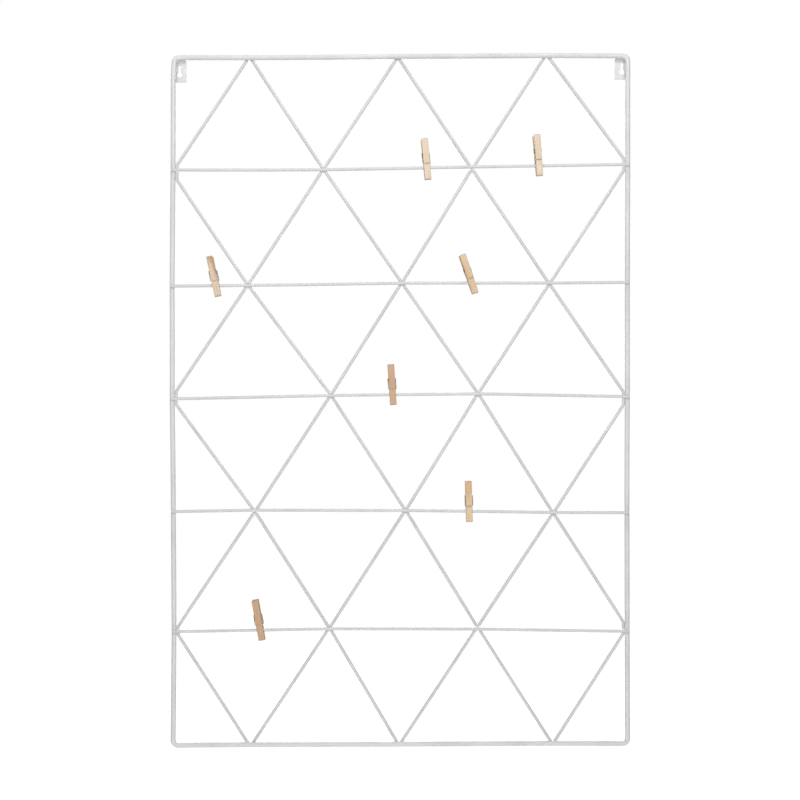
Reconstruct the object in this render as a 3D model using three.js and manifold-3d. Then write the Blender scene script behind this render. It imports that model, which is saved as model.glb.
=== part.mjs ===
// Clip wall rack: a bent steel rod frame with welded wires, two keyhole hanger plates and seven wooden spring pegs.
// Millimetres. +X is to the right, +Z is up and -Y faces the viewer; the wall is the plane y = 0.
// The origin lies on the wall, midway between the places where the wall screws sit in the keyholes.

import * as THREE from 'three';
import { mergeVertices } from 'three/addons/utils/BufferGeometryUtils.js';
import Module from 'manifold-3d';

const wasm = await Module();
wasm.setup();

// Frame rod and wires
const rackWidth = 600;
const rackHeight = 905;
const frameRodDiameter = 6.3;
const cornerBendRadius = 7;
const wireDiameter = 4;
const apexBendRadius = 3.1;
const tailBendRadius = 4;
const weldGap = 0.3;
const buttWeldLength = 4;
const buttWeldHeight = 0.15;
const wallStandOff = 12;
// How far across a side bar the end of a cross wire reaches, as a share of the bar
const crossWireReachShare = 0.7;

// Hanger plates
const plateWidth = 18;
const plateThickness = 1.5;
const plateDrop = 29;
const plateBendRadius = 1;
const flangeDrop = 1.6;
const flangeTrim = 3;
const leftKeyholeInset = 4.8;
const rightKeyholeInset = 5.8;
// The right plate is welded on a little higher than the left one
const rightPlateRaise = 1.6;
const keyholeSeatDrop = 8.8;
const keyholeTravel = 10.5;
const keyholeSlotWidth = 3.8;
const keyholeHeadDiameter = 6.8;

// Wooden halves of a peg
const pegWidth = 8.5;
const handleLength = 20.7;
const jawLength = 32.3;
const jawHalfGap = 0.2;
const jawTipThickness = 3.6;
const handleOuterSpread = 6;
const handleInnerSpread = 4;
const handleRootGap = 0.9;
const tipChamfer = 1.2;
const tipLeadIn = 2.4;
const tipLeadInGap = 0.9;
const handleEndRounding = 0.6;
const edgeEasing = 0.35;
const wireHollowDrop = 18;
const wireHollowClearance = 0.7;
const steepestTilt = 20;

// Spring of a peg
const springWireDiameter = 1.1;
const coilMeanDiameter = 3.6;
const coilTurns = 5;
const coilClearance = 0.35;
const armClearance = 0.35;
const armBendRadius = 1;
const armEndMargin = 0.3;
const grooveDrop = 11.8;
const grooveSink = 0.15;

// Smoothness of the round forms
const rodSides = 12;
const wireSides = 8;
const springSides = 5;
const coilStepsPerTurn = 8;
const bendStepAngle = 18;
const straightAngle = 3;
const arcSegments = 5;
const cutOverrun = 2;

// Where the wires are welded, from the top bar down to the bottom bar, and from the left bar to the right bar.
// Each place is its distance from the left bar and its height over the bottom bar, as shares of the distance
// between the bars. The rack is bent and welded by hand, so neither the rows nor the bars are dead straight.
const rowShares = [
  [[0.0024, 0.9983], [0.1658, 0.9984], [0.496, 1.0003], [0.8219, 1.0016], [1.0008, 1.0009]],
  [[-0.0002, 0.8339], [0.3309, 0.8341], [0.659, 0.8382], [1.0008, 0.8419]],
  [[-0.0022, 0.6656], [0.1658, 0.6666], [0.5026, 0.6699], [0.8285, 0.6701], [0.9998, 0.6711]],
  [[-0.0021, 0.5023], [0.3463, 0.5072], [0.67, 0.5096], [0.9998, 0.5055]],
  [[0.0004, 0.3389], [0.1812, 0.3411], [0.5114, 0.3406], [0.8373, 0.3377], [0.9989, 0.3374]],
  [[0.002, 0.1649], [0.3463, 0.1692], [0.6722, 0.1688], [0.9995, 0.1655]],
  [[-0.0002, -0.0016], [0.1724, -0.0007], [0.5004, 0.0001], [0.8351, 0.0012], [1.0004, 0.0009]],
];

// Where the left bar starts to lean inwards below its top corner, in the same shares
const leanShares = [0.0002, 0.966];

// How far the hairpin bends have slipped from each inner weld, to the right and up, as shares of the wire's
// diameter. The bends above and below a weld were held together, so they have slipped alike.
const slipShares = [
  [[0.17, 0.21], [-0.22, -0.4], [0.14, 0.27]],
  [[0.01, 0.39], [-0.2, -0.46]],
  [[-0.16, 0.29], [0.09, 0.24], [-0.09, -0.15]],
  [[0.12, 0.12], [0.16, 0.1]],
  [[-0.14, -0.59], [0.02, -0.05], [-0.15, -0.27]],
  [[-0.32, 0.05], [-0.37, 0.47]],
  [[-0.55, -0.44], [-0.48, -0.14], [0.21, -0.03]],
];

// How far each zigzag wire runs along the side bars before it turns off, at its left and right end, as shares of
// the distance from one row to the next
const tailShares = [
  [0.033, 0.041],
  [0.068, 0.032],
  [0.052, 0.029],
  [0.035, 0.059],
  [0.024, 0.063],
  [0.017, 0.012],
];

// Where each peg is clipped: the row of its cross wire, its distance from the left bar as a share, its tilt with
// the handles to the left, and its twist about its own length, in degrees. The last share says how far the wire
// lies from the middle of its hollow towards the handles, of the play that it has there.
const pegPlaces = [
  { row: 1, acrossShare: 0.5584, tilt: 5.4, twist: 4, playShare: 0.65 },
  { row: 1, acrossShare: 0.8036, tilt: 4.7, twist: 4, playShare: -0.6 },
  { row: 2, acrossShare: 0.0958, tilt: 12.2, twist: 4, playShare: 0 },
  { row: 2, acrossShare: 0.6565, tilt: 18.9, twist: 3, playShare: 0 },
  { row: 3, acrossShare: 0.4834, tilt: 3.8, twist: 2, playShare: -0.45 },
  { row: 4, acrossShare: 0.651, tilt: 1.7, twist: 0, playShare: -0.3 },
  { row: 5, acrossShare: 0.1933, tilt: 10, twist: 2, playShare: -0.65 },
];

// Sizes that follow from the ones above
const frameRodRadius = frameRodDiameter / 2;
const wireRadius = wireDiameter / 2;
const springWireRadius = springWireDiameter / 2;
const coilMeanRadius = coilMeanDiameter / 2;
const barSpacingX = rackWidth - frameRodDiameter;
const barSpacingZ = rackHeight - frameRodDiameter;
const frameDepth = -wallStandOff;
const crossWireDepth = frameDepth - frameRodRadius - weldGap - wireRadius;
const zigzagDepth = crossWireDepth + wireDiameter + weldGap;
const behindBarDepth = frameDepth + frameRodRadius + weldGap + wireRadius;
const apexOffset = wireRadius + weldGap / 2;
const sideOffset = frameRodRadius + weldGap + wireRadius;
const rowDistance = barSpacingZ / (rowShares.length - 1);
const seatRadius = coilMeanRadius + springWireRadius + coilClearance;
const armSide = pegWidth / 2 + armClearance + springWireRadius;
const grooveRadius = springWireRadius + armClearance;
const hollowDepth = wireRadius + wireHollowClearance;
const steepest = THREE.MathUtils.degToRad(steepestTilt);
const wireReach = (tilt) => (pegWidth / 2) * Math.tan(tilt) + wireRadius / Math.cos(tilt);
const hollowHalfLength = wireReach(steepest) + wireHollowClearance;

// The height that the origin takes away: the screws' seats in the two keyholes lie evenly above and below it
const topRow = rowShares[0];
const bottomRow = rowShares[rowShares.length - 1];
const cornerHeight = (place) => place[1] * barSpacingZ;
const seatHeight = (cornerHeight(topRow[0]) + cornerHeight(topRow[topRow.length - 1]) + rightPlateRaise) / 2
  - keyholeSeatDrop;
const placeAt = ([across, up], depth) => new THREE.Vector3(
  across * barSpacingX - barSpacingX / 2,
  depth,
  up * barSpacingZ - seatHeight,
);

// Powder-coated steel, the pegs' woods and their spring wire
const whiteCoat = { color: 0xf1f1ee, roughness: 0.45, metalness: 0 };
const springSteel = { color: 0x77736c, roughness: 0.35, metalness: 0.9 };
const woodColors = [0xe3c9a8, 0xe2c8a9, 0xd0a474, 0xd3a873, 0xc0946a, 0xcb9f68, 0xbd9067];

function namedMesh(name, geometry, look) {
  const mesh = new THREE.Mesh(geometry, new THREE.MeshStandardMaterial(look));
  mesh.name = name;
  return mesh;
}

// Solids for cutting and joining

function toSolid(geometry) {
  const bare = geometry.clone();
  bare.deleteAttribute('normal');
  bare.deleteAttribute('uv');
  const merged = mergeVertices(bare);
  return new wasm.Manifold(new wasm.Mesh({
    numProp: 3,
    vertProperties: new Float32Array(merged.attributes.position.array),
    triVerts: new Uint32Array(merged.index.array),
  }));
}

function toGeometry(solid) {
  const mesh = solid.getMesh();
  const geometry = new THREE.BufferGeometry();
  geometry.setAttribute('position', new THREE.BufferAttribute(mesh.vertProperties, 3));
  geometry.setIndex(new THREE.BufferAttribute(mesh.triVerts, 1));
  geometry.computeVertexNormals();
  return geometry;
}

// Bent wire

// A path that is swept station by station, so that bends get many sections and straights only two
class StationPath extends THREE.Curve {
  constructor(stations) {
    super();
    this.stations = stations;
  }

  stationAt(u) {
    return this.stations[Math.round(u * (this.stations.length - 1))];
  }

  getPoint(u, target = new THREE.Vector3()) {
    return target.copy(this.stationAt(u).point);
  }

  getPointAt(u, target = new THREE.Vector3()) {
    return this.getPoint(u, target);
  }

  getTangentAt(u, target = new THREE.Vector3()) {
    return target.copy(this.stationAt(u).direction);
  }
}

const towards = (from, to) => to.clone().sub(from).normalize();

// Stations round one corner: an arc of the given radius, or one mitre where the wire hardly turns
function cornerStations(before, corner, after, radius) {
  const inward = towards(before, corner);
  const outward = towards(corner, after);
  const turn = inward.angleTo(outward);
  if (turn < THREE.MathUtils.degToRad(straightAngle)) {
    return [{ point: corner.clone(), direction: inward.clone().add(outward).normalize() }];
  }
  const start = corner.clone().addScaledVector(inward, -radius * Math.tan(turn / 2));
  const side = outward.clone().addScaledVector(inward, -inward.dot(outward)).normalize();
  const centre = start.clone().addScaledVector(side, radius);
  const steps = Math.ceil(turn / THREE.MathUtils.degToRad(bendStepAngle));
  return Array.from({ length: steps + 1 }, (_, step) => {
    const angle = (turn * step) / steps;
    const point = centre.clone()
      .addScaledVector(side, -radius * Math.cos(angle))
      .addScaledVector(inward, radius * Math.sin(angle));
    const direction = inward.clone().multiplyScalar(Math.cos(angle)).addScaledVector(side, Math.sin(angle));
    return { point, direction };
  });
}

// corners: [{ point, radius }], the radius being that of the bend's centre line
function bentStations(corners) {
  const last = corners.length - 1;
  return corners.flatMap(({ point, radius }, index) => {
    if (index === 0) return [{ point, direction: towards(point, corners[1].point) }];
    if (index === last) return [{ point, direction: towards(corners[last - 1].point, point) }];
    return cornerStations(corners[index - 1].point, point, corners[index + 1].point, radius);
  });
}

function roundSection(radius, sides) {
  return new THREE.Shape(Array.from({ length: sides }, (_, side) => {
    const angle = (2 * Math.PI * (side + 0.5)) / sides;
    return new THREE.Vector2(radius * Math.cos(angle), radius * Math.sin(angle));
  }));
}

function sweep(stations, radius, sides) {
  return new THREE.ExtrudeGeometry(roundSection(radius, sides), {
    steps: stations.length - 1,
    extrudePath: new StationPath(stations),
  });
}

// Outer frame: one rod round all four corners, its ends meeting in a butt weld in the middle of the bottom bar

function outerFrame() {
  const lastRow = rowShares.length - 1;
  const leftBar = [leanShares, ...rowShares.slice(1, lastRow).map((row) => row[0])];
  const rightBar = rowShares.slice(1, lastRow).map((row) => row[row.length - 1]).reverse();
  const middle = Math.floor(bottomRow.length / 2);
  const corner = (place) => ({ point: placeAt(place, frameDepth), radius: cornerBendRadius });
  const onBar = (place) => ({ point: placeAt(place, frameDepth), radius: 0 });
  const weld = onBar(bottomRow[middle]);
  const rod = sweep(bentStations([
    weld,
    ...bottomRow.slice(1, middle).reverse().map(onBar),
    corner(bottomRow[0]),
    ...leftBar.reverse().map(onBar),
    corner(topRow[0]),
    ...topRow.slice(1, -1).map(onBar),
    corner(topRow[topRow.length - 1]),
    ...rightBar.reverse().map(onBar),
    corner(bottomRow[bottomRow.length - 1]),
    ...bottomRow.slice(middle + 1, -1).reverse().map(onBar),
    weld,
  ]), frameRodRadius, rodSides);
  const collar = new THREE.CylinderGeometry(
    frameRodRadius + buttWeldHeight,
    frameRodRadius + buttWeldHeight,
    buttWeldLength,
    rodSides,
  );
  collar.rotateZ(Math.PI / 2);
  collar.translate(weld.point.x, weld.point.y, weld.point.z);
  return toGeometry(toSolid(rod).add(toSolid(collar)));
}

// Cross wires, straight from weld to weld on the front of the side bars

function crossWirePoints(row) {
  const points = rowShares[row].map((place) => placeAt(place, crossWireDepth));
  const reach = frameRodDiameter * crossWireReachShare - frameRodRadius;
  points[0].x -= reach;
  points[points.length - 1].x += reach;
  return points;
}

function crossWire(row) {
  const corners = crossWirePoints(row).map((point) => ({ point, radius: 0 }));
  return sweep(bentStations(corners), wireRadius, wireSides);
}

// Zigzag wires: from the left bar, over five hairpin bends, to the right bar

// A bend's outermost point lies short of the corner that its two straights point at
function apexCorner(before, apex, after) {
  const back = towards(apex, before);
  const onward = towards(apex, after);
  const halfAngle = back.angleTo(onward) / 2;
  const outward = back.clone().add(onward).normalize().negate();
  return apex.clone().addScaledVector(outward, apexBendRadius / Math.sin(halfAngle) - apexBendRadius);
}

function zigzagWire(band) {
  // Side ends lie on the odd row of the band, and the other row is above or below it
  const sideRow = band % 2 === 1 ? band : band - 1;
  const otherRow = band % 2 === 1 ? band - 1 : band;
  const away = Math.sign(sideRow - otherRow);
  const isBar = otherRow === 0 || otherRow === rowShares.length - 1;
  const sidePlaces = rowShares[sideRow];
  const tips = (row, depth, offset) => rowShares[row].slice(1, -1).map((place, index) => {
    const [along, up] = slipShares[row][index];
    const point = placeAt(place, depth);
    point.x += along * wireDiameter;
    point.z += up * wireDiameter + offset;
    return point;
  });
  const near = tips(sideRow, zigzagDepth, away * apexOffset);
  const far = isBar ? tips(otherRow, behindBarDepth, 0) : tips(otherRow, zigzagDepth, -away * apexOffset);
  const apexes = far.flatMap((point, index) => (index < near.length ? [point, near[index]] : [point]));
  const side = (place, direction, tail) => {
    const end = placeAt(place, zigzagDepth);
    end.x += direction * sideOffset;
    end.z += away * apexOffset;
    const turn = end.clone();
    turn.z += away * tail * rowDistance;
    return [end, turn];
  };
  const [leftTail, rightTail] = tailShares[band - 1];
  const [leftEnd, leftTurn] = side(sidePlaces[0], 1, leftTail);
  const [rightEnd, rightTurn] = side(sidePlaces[sidePlaces.length - 1], -1, rightTail);
  const run = [leftTurn, ...apexes, rightTurn];
  const bends = apexes.map((apex, index) => ({
    point: apexCorner(run[index], apex, run[index + 2]),
    radius: apexBendRadius,
  }));
  return sweep(bentStations([
    { point: leftEnd },
    { point: leftTurn, radius: tailBendRadius },
    ...bends,
    { point: rightTurn, radius: tailBendRadius },
    { point: rightEnd },
  ]), wireRadius, wireSides);
}

// Hanger plates: a flange behind the top bar, bent down into an upright leaf on the wall with a keyhole. The
// flange stops short of the frame's corner bend. outward: -1 on the left plate, 1 on the right one.

function hangerPlate(outward) {
  // Drawn in the side view, with the top bar's axis at the origin, back along x and up along y
  const front = frameRodRadius + weldGap;
  const outerBend = plateBendRadius + plateThickness;
  const profile = new THREE.Shape();
  profile.moveTo(front, -flangeDrop);
  profile.lineTo(front, -flangeDrop - plateThickness);
  profile.lineTo(wallStandOff - outerBend, -flangeDrop - plateThickness);
  profile.absarc(wallStandOff - outerBend, -flangeDrop - outerBend, plateBendRadius, Math.PI / 2, 0, true);
  profile.lineTo(wallStandOff - plateThickness, -plateDrop);
  profile.lineTo(wallStandOff, -plateDrop);
  profile.lineTo(wallStandOff, -flangeDrop - outerBend);
  profile.absarc(wallStandOff - outerBend, -flangeDrop - outerBend, outerBend, 0, Math.PI / 2, false);
  const bracket = new THREE.ExtrudeGeometry(profile, {
    depth: plateWidth,
    bevelEnabled: false,
    curveSegments: arcSegments,
  });
  bracket.translate(0, 0, -plateWidth / 2);
  bracket.applyMatrix4(new THREE.Matrix4().makeBasis(
    new THREE.Vector3(0, 1, 0),
    new THREE.Vector3(0, 0, 1),
    new THREE.Vector3(1, 0, 0),
  ));

  const slotRadius = keyholeSlotWidth / 2;
  const headRadius = keyholeHeadDiameter / 2;
  const shoulder = Math.asin(slotRadius / headRadius);
  const keyhole = new THREE.Shape();
  keyhole.absarc(0, 0, slotRadius, 0, Math.PI, false);
  keyhole.absarc(0, -keyholeTravel, headRadius, Math.PI / 2 + shoulder, Math.PI * 2.5 - shoulder, false);
  const cutter = new THREE.ExtrudeGeometry(keyhole, {
    depth: plateThickness + 2 * cutOverrun,
    bevelEnabled: false,
    curveSegments: 2 * arcSegments,
  });
  cutter.rotateX(Math.PI / 2);
  cutter.translate(0, wallStandOff + cutOverrun, -keyholeSeatDrop);

  const leafFront = wallStandOff - plateThickness;
  const trimWidth = flangeTrim + cutOverrun;
  const trim = new THREE.BoxGeometry(trimWidth, leafFront, 2 * plateDrop);
  trim.translate(outward * (plateWidth / 2 - flangeTrim + trimWidth / 2), leafFront / 2, 0);
  return toGeometry(toSolid(bracket).subtract(toSolid(cutter)).subtract(toSolid(trim)));
}

// A peg's wooden half. The profile is drawn in the side view with the coil's centre at the origin, x up along the
// peg towards the handles and y out from the plane between the halves.

const outerFaceAt = (along) => jawTipThickness
  + (handleOuterSpread - jawTipThickness) * ((along + jawLength) / (jawLength + handleLength));
const grooveCentreOut = outerFaceAt(-grooveDrop) - grooveSink;

function pegHalfProfile() {
  const seatFoot = Math.asin(jawHalfGap / seatRadius);
  const seatBrow = Math.asin(handleRootGap / seatRadius);
  const hollowFoot = Math.asin(jawHalfGap / hollowDepth);
  const grooveLip = Math.asin(grooveSink / grooveRadius);
  const profile = new THREE.Shape();
  profile.moveTo(-jawLength, tipLeadInGap);
  profile.lineTo(tipLeadIn - jawLength, jawHalfGap);
  profile.absellipse(
    -wireHollowDrop, 0, hollowHalfLength, hollowDepth, Math.PI - hollowFoot, hollowFoot, true,
  );
  profile.absarc(0, 0, seatRadius, Math.PI - seatFoot, seatBrow, true);
  profile.lineTo(handleLength, handleInnerSpread);
  profile.lineTo(handleLength, handleOuterSpread - handleEndRounding);
  profile.lineTo(handleLength - handleEndRounding, outerFaceAt(handleLength - handleEndRounding));
  profile.absarc(-grooveDrop, grooveCentreOut, grooveRadius, grooveLip, Math.PI - grooveLip, true);
  profile.lineTo(tipChamfer - jawLength, outerFaceAt(tipChamfer - jawLength));
  profile.lineTo(-jawLength, jawTipThickness - tipChamfer);
  return profile;
}

// side: -1 for the half that faces the viewer, 1 for the half towards the wall
function pegHalf(side) {
  const geometry = new THREE.ExtrudeGeometry(pegHalfProfile(), {
    depth: pegWidth - 2 * edgeEasing,
    curveSegments: arcSegments,
    bevelSegments: 1,
    bevelThickness: edgeEasing,
    bevelSize: edgeEasing,
    bevelOffset: -edgeEasing,
  });
  geometry.translate(0, 0, edgeEasing - pegWidth / 2);
  geometry.applyMatrix4(new THREE.Matrix4().makeBasis(
    new THREE.Vector3(0, 0, 1),
    new THREE.Vector3(0, side, 0),
    new THREE.Vector3(-side, 0, 0),
  ));
  return geometry;
}

// A peg's spring: in over the front groove, up the left side, round the coil, down the right side and out over the
// groove of the back half

function springStations() {
  const frontGroove = new THREE.Vector2(-grooveCentreOut, -grooveDrop);
  const tangentAngle = Math.acos(coilMeanRadius / frontGroove.length());
  const coilStart = frontGroove.angle() - tangentAngle;
  const sweepAngle = coilTurns * 2 * Math.PI + 2 * (coilStart - Math.PI / 2);
  const coilSteps = Math.round((sweepAngle / (2 * Math.PI)) * coilStepsPerTurn);
  const onCoil = (angle, across) => new THREE.Vector3(
    across,
    coilMeanRadius * Math.cos(angle),
    coilMeanRadius * Math.sin(angle),
  );
  const across = pegWidth / 2 - armEndMargin;
  const arm = bentStations([
    { point: new THREE.Vector3(across, -grooveCentreOut, -grooveDrop) },
    { point: new THREE.Vector3(-armSide, -grooveCentreOut, -grooveDrop), radius: armBendRadius },
    { point: onCoil(coilStart, -armSide) },
  ]).slice(0, -1);
  const rise = (2 * armSide) / sweepAngle;
  const coil = Array.from({ length: coilSteps + 1 }, (_, step) => {
    const turned = (sweepAngle * step) / coilSteps;
    const angle = coilStart - turned;
    const direction = new THREE.Vector3(rise, coilMeanRadius * Math.sin(angle), -coilMeanRadius * Math.cos(angle));
    return { point: onCoil(angle, turned * rise - armSide), direction: direction.normalize() };
  });
  const turnedRound = ({ point, direction }) => ({
    point: new THREE.Vector3(-point.x, -point.y, point.z),
    direction: new THREE.Vector3(direction.x, direction.y, -direction.z),
  });
  return [...arm, ...coil, ...arm.map(turnedRound).reverse()];
}

// The least gap between turns that lie further apart along the wire than one and a half turns of its coil would
function leastGap(stations, wire) {
  const points = stations.map(({ point }) => point);
  const lengths = [0];
  points.slice(1).forEach((point, index) => lengths.push(lengths[index] + point.distanceTo(points[index])));
  const apart = Math.PI * coilMeanRadius;
  const nearest = points.map((point, index) => Math.min(...points
    .filter((_, other) => Math.abs(lengths[other] - lengths[index]) > apart)
    .map((other) => other.distanceTo(point))));
  return Math.min(...nearest) - wire;
}

// Assembly

const rack = new THREE.Group();

rack.add(namedMesh('outer_frame', outerFrame(), whiteCoat));
for (let row = 1; row < rowShares.length - 1; row += 1) {
  rack.add(namedMesh(`cross_wire_${row}`, crossWire(row), whiteCoat));
}
for (let band = 1; band < rowShares.length; band += 1) {
  rack.add(namedMesh(`zigzag_wire_${band}`, zigzagWire(band), whiteCoat));
}

const hangers = [
  { name: 'hanger_plate_left', corner: topRow[0], outward: -1, inset: leftKeyholeInset, raise: 0 },
  {
    name: 'hanger_plate_right',
    corner: topRow[topRow.length - 1],
    outward: 1,
    inset: rightKeyholeInset,
    raise: rightPlateRaise,
  },
];
for (const { name, corner, outward, inset, raise } of hangers) {
  const plate = namedMesh(name, hangerPlate(outward), whiteCoat);
  plate.position.copy(placeAt(corner, frameDepth));
  plate.position.x -= outward * inset;
  plate.position.z += raise;
  rack.add(plate);
}

// The point of a cross wire's centre line at a distance from the left bar
function pointOnCrossWire(row, acrossShare) {
  const points = crossWirePoints(row);
  const x = acrossShare * barSpacingX - barSpacingX / 2;
  const next = points.findIndex((point) => point.x > x);
  const [from, to] = [points[next - 1], points[next]];
  return from.clone().lerp(to, (x - from.x) / (to.x - from.x));
}

const spring = springStations();
console.log(`least gap of a peg's spring to itself: ${leastGap(spring, springWireDiameter).toFixed(2)} mm`);

pegPlaces.forEach(({ row, acrossShare, tilt, twist, playShare }, index) => {
  const label = `peg_${index + 1}`;
  const wood = { color: woodColors[index], roughness: 0.7, metalness: 0 };
  const tiltAngle = THREE.MathUtils.degToRad(tilt);
  const peg = new THREE.Group();
  peg.rotation.y = -tiltAngle;
  const body = new THREE.Group();
  body.rotation.z = THREE.MathUtils.degToRad(twist);
  body.position.z = wireHollowDrop - playShare * (hollowHalfLength - wireReach(tiltAngle));
  body.add(
    namedMesh(`${label}_front_half`, pegHalf(-1), wood),
    namedMesh(`${label}_back_half`, pegHalf(1), wood),
    namedMesh(`${label}_spring`, sweep(spring, springWireRadius, springSides), springSteel),
  );
  peg.add(body);
  peg.position.copy(pointOnCrossWire(row, acrossShare));
  rack.add(peg);
});

export default rack;
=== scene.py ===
"""Clip wall rack: a white wire lattice on two keyhole hangers, with seven wooden spring pegs on its wires.

Sizes are in millimetres and turned to metres where they reach Blender. +X is to the right, +Z is up and -Y
faces the viewer. The wall is the plane y = 0.
"""

import logging
import math
import random
from collections.abc import Callable
from dataclasses import dataclass, field
from enum import Enum

import bpy
from mathutils import Matrix, Vector


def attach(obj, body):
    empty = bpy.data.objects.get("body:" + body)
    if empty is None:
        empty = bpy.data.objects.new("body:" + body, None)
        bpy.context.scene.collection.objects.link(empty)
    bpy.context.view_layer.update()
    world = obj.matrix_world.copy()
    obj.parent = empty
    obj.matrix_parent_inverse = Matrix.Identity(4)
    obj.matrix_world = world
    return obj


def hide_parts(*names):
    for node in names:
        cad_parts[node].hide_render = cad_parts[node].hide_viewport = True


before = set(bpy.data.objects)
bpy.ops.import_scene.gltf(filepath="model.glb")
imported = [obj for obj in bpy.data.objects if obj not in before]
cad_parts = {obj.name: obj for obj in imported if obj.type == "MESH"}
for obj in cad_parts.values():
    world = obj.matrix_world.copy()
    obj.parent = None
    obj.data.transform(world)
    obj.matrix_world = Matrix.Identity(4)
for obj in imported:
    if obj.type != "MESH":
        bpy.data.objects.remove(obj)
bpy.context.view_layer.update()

logging.basicConfig(level=logging.INFO, format="%(message)s")
log = logging.getLogger("clip_wall_rack")

MM = 0.001
RACK_BODY = "rack"


# Colours and shader nodes


def linear_colour(hex_colour: str) -> tuple[float, float, float, float]:
    """Turns an sRGB colour to the linear one that Blender's sockets take.

    Args:
        hex_colour: Six hex digits, such as "e6e6e4".

    Returns:
        Red, green, blue and an alpha of 1.
    """
    # The curve and its numbers are those of the sRGB standard
    shares = [int(hex_colour[place:place + 2], 16) / 255 for place in (0, 2, 4)]
    red, green, blue = (
        share / 12.92 if share <= 0.04045 else ((share + 0.055) / 1.055) ** 2.4 for share in shares
    )
    return red, green, blue, 1.0


def add_node(
    tree: bpy.types.NodeTree,
    kind: str,
    settings: dict | None = None,
    links: dict | None = None,
) -> bpy.types.Node:
    """Adds a node with its settings and links.

    Args:
        tree: The node tree that it goes into.
        kind: Blender's name for the type of node.
        settings: Values for its attributes, and for its inputs by their name or number.
        links: Sockets that feed its inputs, by the input's name or number.

    Returns:
        The new node.
    """
    made = tree.nodes.new(kind)
    for key, value in (settings or {}).items():
        if isinstance(key, int) or key in made.inputs:
            made.inputs[key].default_value = value
        else:
            setattr(made, key, value)
    for key, socket in (links or {}).items():
        tree.links.new(socket, made.inputs[key])
    return made


def new_material(name: str) -> tuple[bpy.types.Material, bpy.types.NodeTree]:
    """Makes a material with an empty node tree.

    Args:
        name: The material's name.

    Returns:
        The material and its tree.
    """
    material = bpy.data.materials.new(name)
    material.use_nodes = True
    material.node_tree.nodes.clear()
    return material, material.node_tree


class Mix(Enum):
    """Numbers of the Mix node's sockets when it mixes colours: its inputs, and its output."""

    SHARE = 0
    GROUND = 6
    LAYER = 7
    RESULT = 2


def layered(
    tree: bpy.types.NodeTree,
    ground: str,
    layers: list[tuple[bpy.types.NodeSocket, str]],
) -> bpy.types.NodeSocket:
    """Lays colours over each other, each as strongly as a socket says.

    Args:
        tree: The node tree.
        ground: The lowest colour, in hex digits.
        layers: The share and the colour of each layer, from the lowest to the highest.

    Returns:
        The socket with what they make together.
    """
    settings = {"data_type": "RGBA", Mix.GROUND.value: linear_colour(ground)}
    links = {}
    for share, colour in layers:
        settings[Mix.LAYER.value] = linear_colour(colour)
        links[Mix.SHARE.value] = share
        links[Mix.GROUND.value] = add_node(tree, "ShaderNodeMix", settings, links).outputs[Mix.RESULT.value]
    return links[Mix.GROUND.value]


def strongest(tree: bpy.types.NodeTree, sockets: list[bpy.types.NodeSocket]) -> bpy.types.NodeSocket:
    """Takes the highest of a few values.

    Args:
        tree: The node tree.
        sockets: The sockets with the values.

    Returns:
        The socket with the highest of them.
    """
    highest = sockets[0]
    for socket in sockets[1:]:
        links = {0: highest, 1: socket}
        highest = add_node(tree, "ShaderNodeMath", {"operation": "MAXIMUM"}, links).outputs["Value"]
    return highest


def add_surface(
    tree: bpy.types.NodeTree,
    colour: bpy.types.NodeSocket,
    roughness: bpy.types.NodeSocket,
    height: bpy.types.NodeSocket,
    relief: dict,
    shading: dict,
) -> None:
    """Closes a material's tree with its relief, its shader and the output.

    Args:
        tree: The material's tree.
        colour: The colour.
        roughness: The roughness.
        height: The height of the relief, as a share of its depth.
        relief: Settings of the relief.
        shading: Settings of the shader.
    """
    links = {
        "Base Color": colour,
        "Roughness": roughness,
        "Normal": add_node(tree, "ShaderNodeBump", relief, {"Height": height}).outputs["Normal"],
    }
    shader = add_node(tree, "ShaderNodeBsdfPrincipled", shading, links)
    add_node(tree, "ShaderNodeOutputMaterial", links={"Surface": shader.outputs["BSDF"]})


# Finishes


@dataclass(frozen=True)
class CloudedFinish:
    """A finish with a fine relief all over it, and with soft clouds of a second colour and of roughness."""

    name: str
    colour: str
    cloud_colour: str
    roughness_low: float
    roughness_high: float
    relief_width: float
    relief_depth: float
    relief_roughness: float
    cloud_width: float
    cloud_roughness: float
    # Between these values of the noise the second colour comes up
    cloud_low: float
    cloud_high: float
    relief_detail: float = 2.0
    cloud_detail: float = 3.0
    # The noise hardly leaves these values, so the roughness runs from one end to the other between them
    noise_low: float = 0.3
    noise_high: float = 0.7

    def shading(self) -> dict[str, float]:
        """The shader's settings for this kind of material."""
        return {}

    def make(self) -> bpy.types.Material:
        """Makes the material.

        Returns:
            The material.
        """
        material, tree = new_material(self.name)
        place = add_node(tree, "ShaderNodeTexCoord").outputs["Object"]
        relief, clouds = (
            add_node(
                tree,
                "ShaderNodeTexNoise",
                {"Scale": 1 / (width * MM), "Detail": detail, "Roughness": share},
                {"Vector": place},
            ).outputs["Fac"]
            for width, detail, share in (
                (self.relief_width, self.relief_detail, self.relief_roughness),
                (self.cloud_width, self.cloud_detail, self.cloud_roughness),
            )
        )
        tone, roughness = (
            add_node(
                tree,
                "ShaderNodeMapRange",
                {"From Min": low, "From Max": high, "To Min": least, "To Max": most},
                {"Value": clouds},
            ).outputs["Result"]
            for low, high, least, most in (
                (self.cloud_low, self.cloud_high, 0.0, 1.0),
                (self.noise_low, self.noise_high, self.roughness_low, self.roughness_high),
            )
        )
        colour = layered(tree, self.colour, [(tone, self.cloud_colour)])
        depth = {"Strength": 1.0, "Distance": self.relief_depth * MM}
        add_surface(tree, colour, roughness, relief, depth, self.shading())
        return material


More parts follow.
